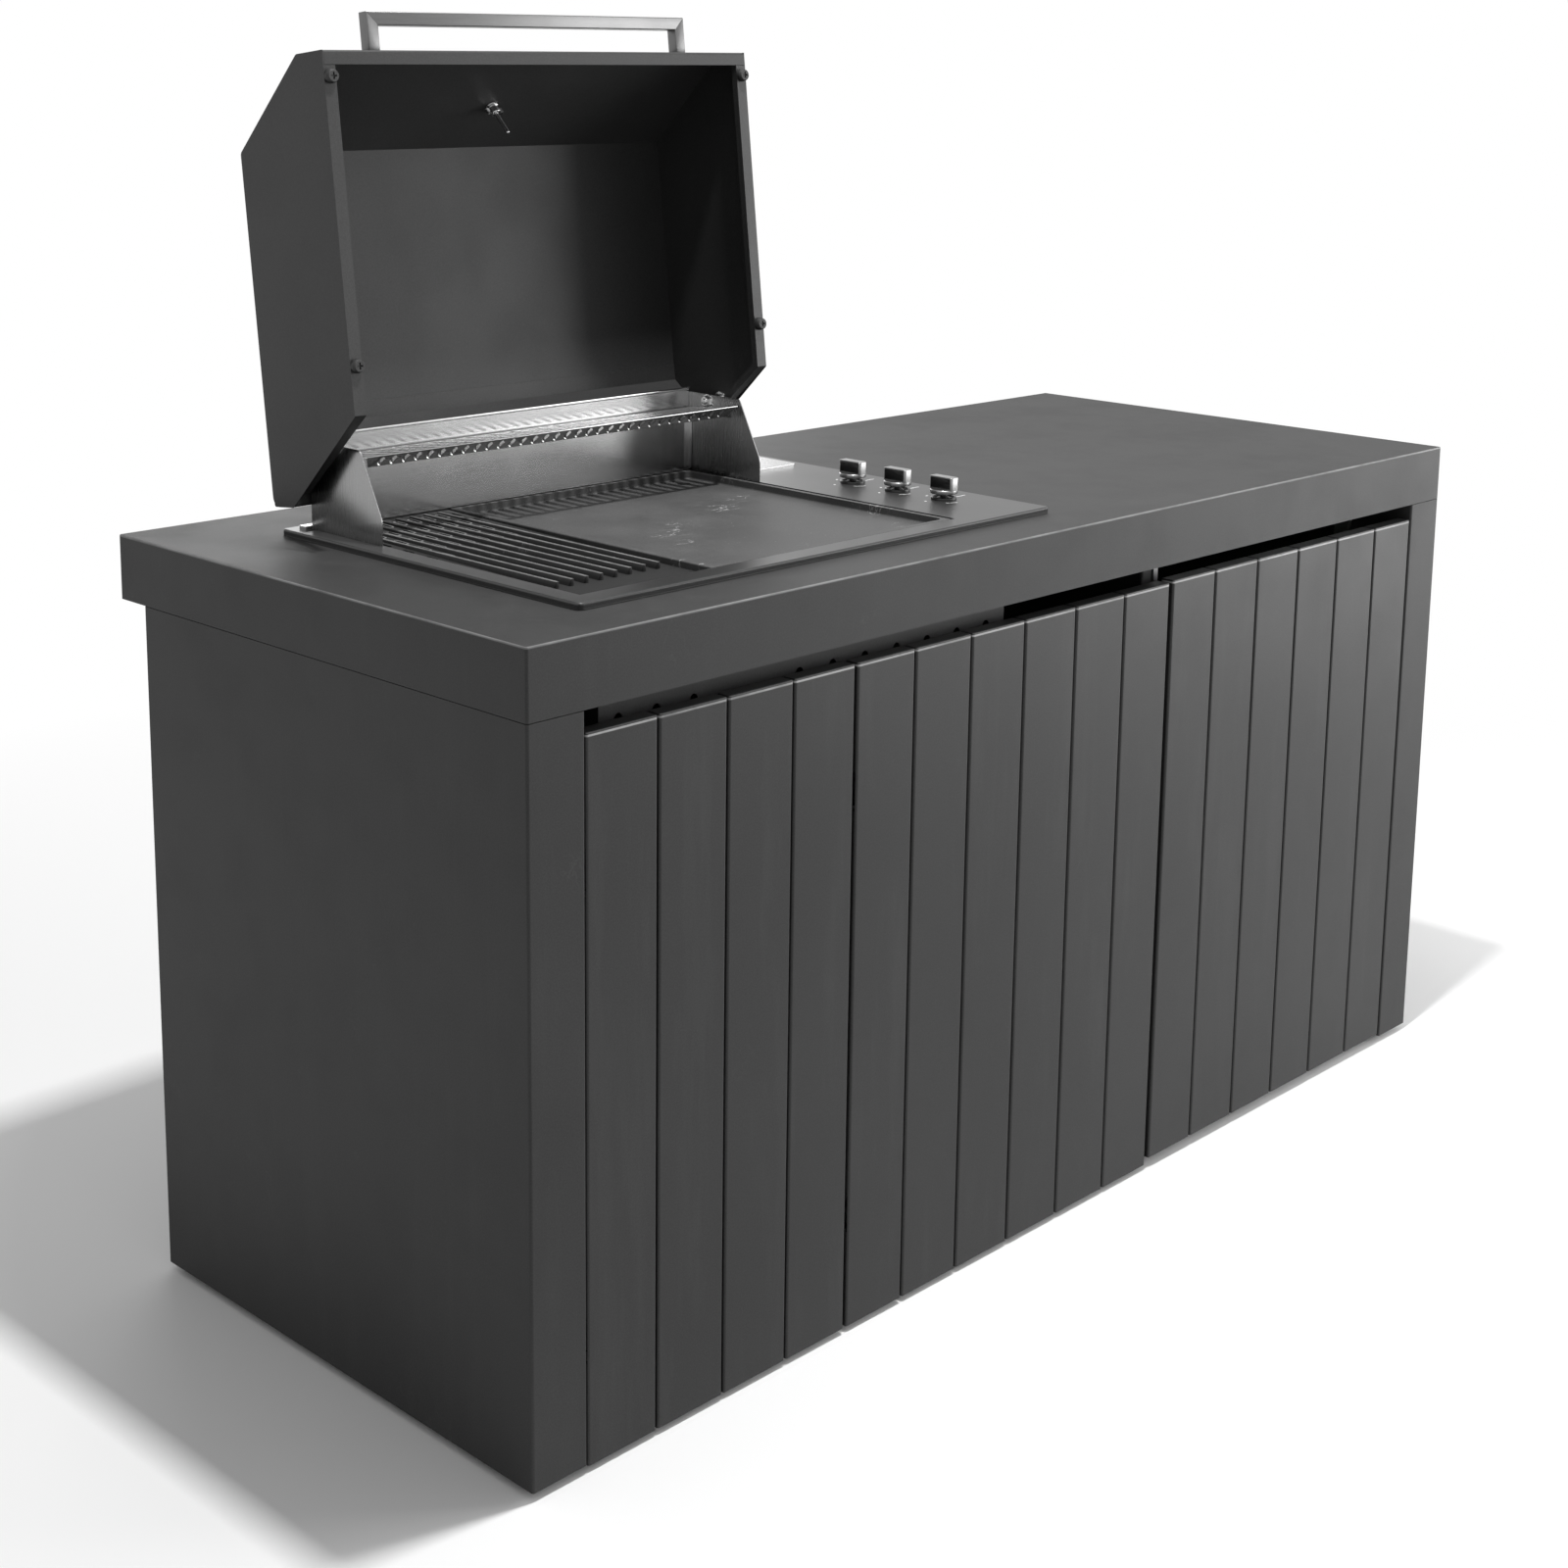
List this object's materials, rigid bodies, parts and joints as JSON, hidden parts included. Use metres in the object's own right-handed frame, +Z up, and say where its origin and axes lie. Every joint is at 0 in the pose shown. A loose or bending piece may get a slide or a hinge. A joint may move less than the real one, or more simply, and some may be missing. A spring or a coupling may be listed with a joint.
{
  "type": "outdoor kitchen island",
  "caption": "Long folded-metal outdoor kitchen bench with planked cupboard doors, a finger gap under its top, and a built-in gas barbecue with grill, hot plate, rack and tilting hood.",
  "frame": {"origin": "on the floor below the middle of the bench top's footprint", "axes": "+X along the bench towards its plain end, away from the barbecue; +Y from the door side to the rear; +Z up"},
  "size_m": [1.75, 0.735, 1.5118],
  "materials": {
    "charcoal_paint": "satin charcoal powder coat",
    "black_plastic": "moulded",
    "bare_steel": "plain zinc-plated",
    "dark_sheet": "matt dark grey sheet",
    "board_paint": "satin charcoal powder coat",
    "hob_enamel": "semi-gloss near-black enamel",
    "stainless": "brushed",
    "brass": "as cast and turned",
    "aluminium_tube": "drawn",
    "spindle_black": "blackened",
    "knob_steel": "turned and brushed",
    "cast_iron": "matt seasoned",
    "hood_enamel": "satin near-black enamel",
    "handle_chrome": "polished",
    "black_rubber": "moulded"
  },
  "bodies": {
    "bench": {"bench_top": "charcoal_paint", "side_panel_left": "charcoal_paint", "side_panel_right": "charcoal_paint", "back_panels": "charcoal_paint", "divider_left": "charcoal_paint", "divider_right": "charcoal_paint", "base_shelf": "charcoal_paint", "bench_stiffener": "charcoal_paint", "feet": "black_plastic", "bay_frame": "bare_steel", "heat_shield": "dark_sheet", "door_left_hinge_arms": "bare_steel", "door_middle_hinge_arms": "bare_steel", "door_right_hinge_arms": "bare_steel", "hob_frame": "hob_enamel", "firebox": "dark_sheet", "burners": "stainless", "valve_bodies": "brass", "gas_manifold": "bare_steel", "supply_tubes": "aluminium_tube", "knob_bezels": "black_plastic", "tray_runners": "bare_steel", "backsplash": "stainless", "rear_base_plate": "stainless", "bracket_left": "stainless", "bracket_right": "stainless", "warming_rack": "stainless"},
    "grill_plate": {"grill_plate": "cast_iron"},
    "hot_plate": {"hot_plate": "cast_iron"},
    "drip_tray": {"drip_tray": "stainless"},
    "hood": {"hood_shell": "hood_enamel", "hood_end_left": "hood_enamel", "hood_end_right": "hood_enamel", "hood_baffle": "hood_enamel", "hood_handle": "handle_chrome", "thermometer": "stainless", "hood_bumpers": "black_rubber", "pivot_bolts": "bare_steel"},
    "door_left": {"door_left_boards": "board_paint", "door_left_caps": "board_paint", "door_left_rails": "charcoal_paint", "door_left_hinge_leaves": "bare_steel"},
    "door_middle": {"door_middle_boards": "board_paint", "door_middle_caps": "board_paint", "door_middle_rails": "charcoal_paint", "door_middle_hinge_leaves": "bare_steel"},
    "door_right": {"door_right_boards": "board_paint", "door_right_caps": "board_paint", "door_right_rails": "charcoal_paint", "door_right_hinge_leaves": "bare_steel"},
    "valve_plug_1": {"valve_plug_1": "brass"},
    "knob_1": {"spindle_1": "spindle_black", "knob_1": "knob_steel"},
    "valve_plug_2": {"valve_plug_2": "brass"},
    "knob_2": {"spindle_2": "spindle_black", "knob_2": "knob_steel"},
    "valve_plug_3": {"valve_plug_3": "brass"},
    "knob_3": {"spindle_3": "spindle_black", "knob_3": "knob_steel"}
  },
  "joints": [
    {"name": "door_left_hinge", "type": "hinge", "parent": "bench", "child": "door_left", "pos_m": [-0.7847, -0.36, 0.4], "axis": [0, 0, -1], "range_deg": [0, 105]},
    {"name": "door_middle_hinge", "type": "hinge", "parent": "bench", "child": "door_middle", "pos_m": [-0.3836, -0.36, 0.4], "axis": [0, 0, -1], "range_deg": [0, 105]},
    {"name": "door_right_hinge", "type": "hinge", "parent": "bench", "child": "door_right", "pos_m": [0.7822, -0.36, 0.4], "axis": [0, 0, 1], "range_deg": [0, 105]},
    {"name": "hood_hinge", "type": "hinge", "parent": "bench", "child": "hood", "pos_m": [-0.411, 0.1705, 1.014], "axis": [1, 0, 0], "range_deg": [0, 96.6]},
    {"name": "grill_plate_lift", "type": "slide", "parent": "bench", "child": "grill_plate", "axis": [0, 0, 1], "range_m": [0, 0.06]},
    {"name": "hot_plate_lift", "type": "slide", "parent": "bench", "child": "hot_plate", "axis": [0, 0, 1], "range_m": [0, 0.06]},
    {"name": "drip_tray_slide", "type": "slide", "parent": "bench", "child": "drip_tray", "axis": [0, -1, 0], "range_m": [0, 0.085]},
    {"name": "valve_turn_1", "type": "hinge", "parent": "bench", "child": "valve_plug_1", "pos_m": [-0.021, -0.168, 0.9], "axis": [0, 0, 1], "range_deg": [0, 180]},
    {"name": "knob_push_1", "type": "slide", "parent": "valve_plug_1", "child": "knob_1", "axis": [0, 0, -1], "range_m": [0, 0.003], "stiffness_N_per_m": 1000, "springref_m": -0.003},
    {"name": "valve_turn_2", "type": "hinge", "parent": "bench", "child": "valve_plug_2", "pos_m": [-0.021, -0.09, 0.9], "axis": [0, 0, 1], "range_deg": [0, 180]},
    {"name": "knob_push_2", "type": "slide", "parent": "valve_plug_2", "child": "knob_2", "axis": [0, 0, -1], "range_m": [0, 0.003], "stiffness_N_per_m": 1000, "springref_m": -0.003},
    {"name": "valve_turn_3", "type": "hinge", "parent": "bench", "child": "valve_plug_3", "pos_m": [-0.021, -0.012, 0.9], "axis": [0, 0, 1], "range_deg": [0, 180]},
    {"name": "knob_push_3", "type": "slide", "parent": "valve_plug_3", "child": "knob_3", "axis": [0, 0, -1], "range_m": [0, 0.003], "stiffness_N_per_m": 1000, "springref_m": -0.003}
  ]
}
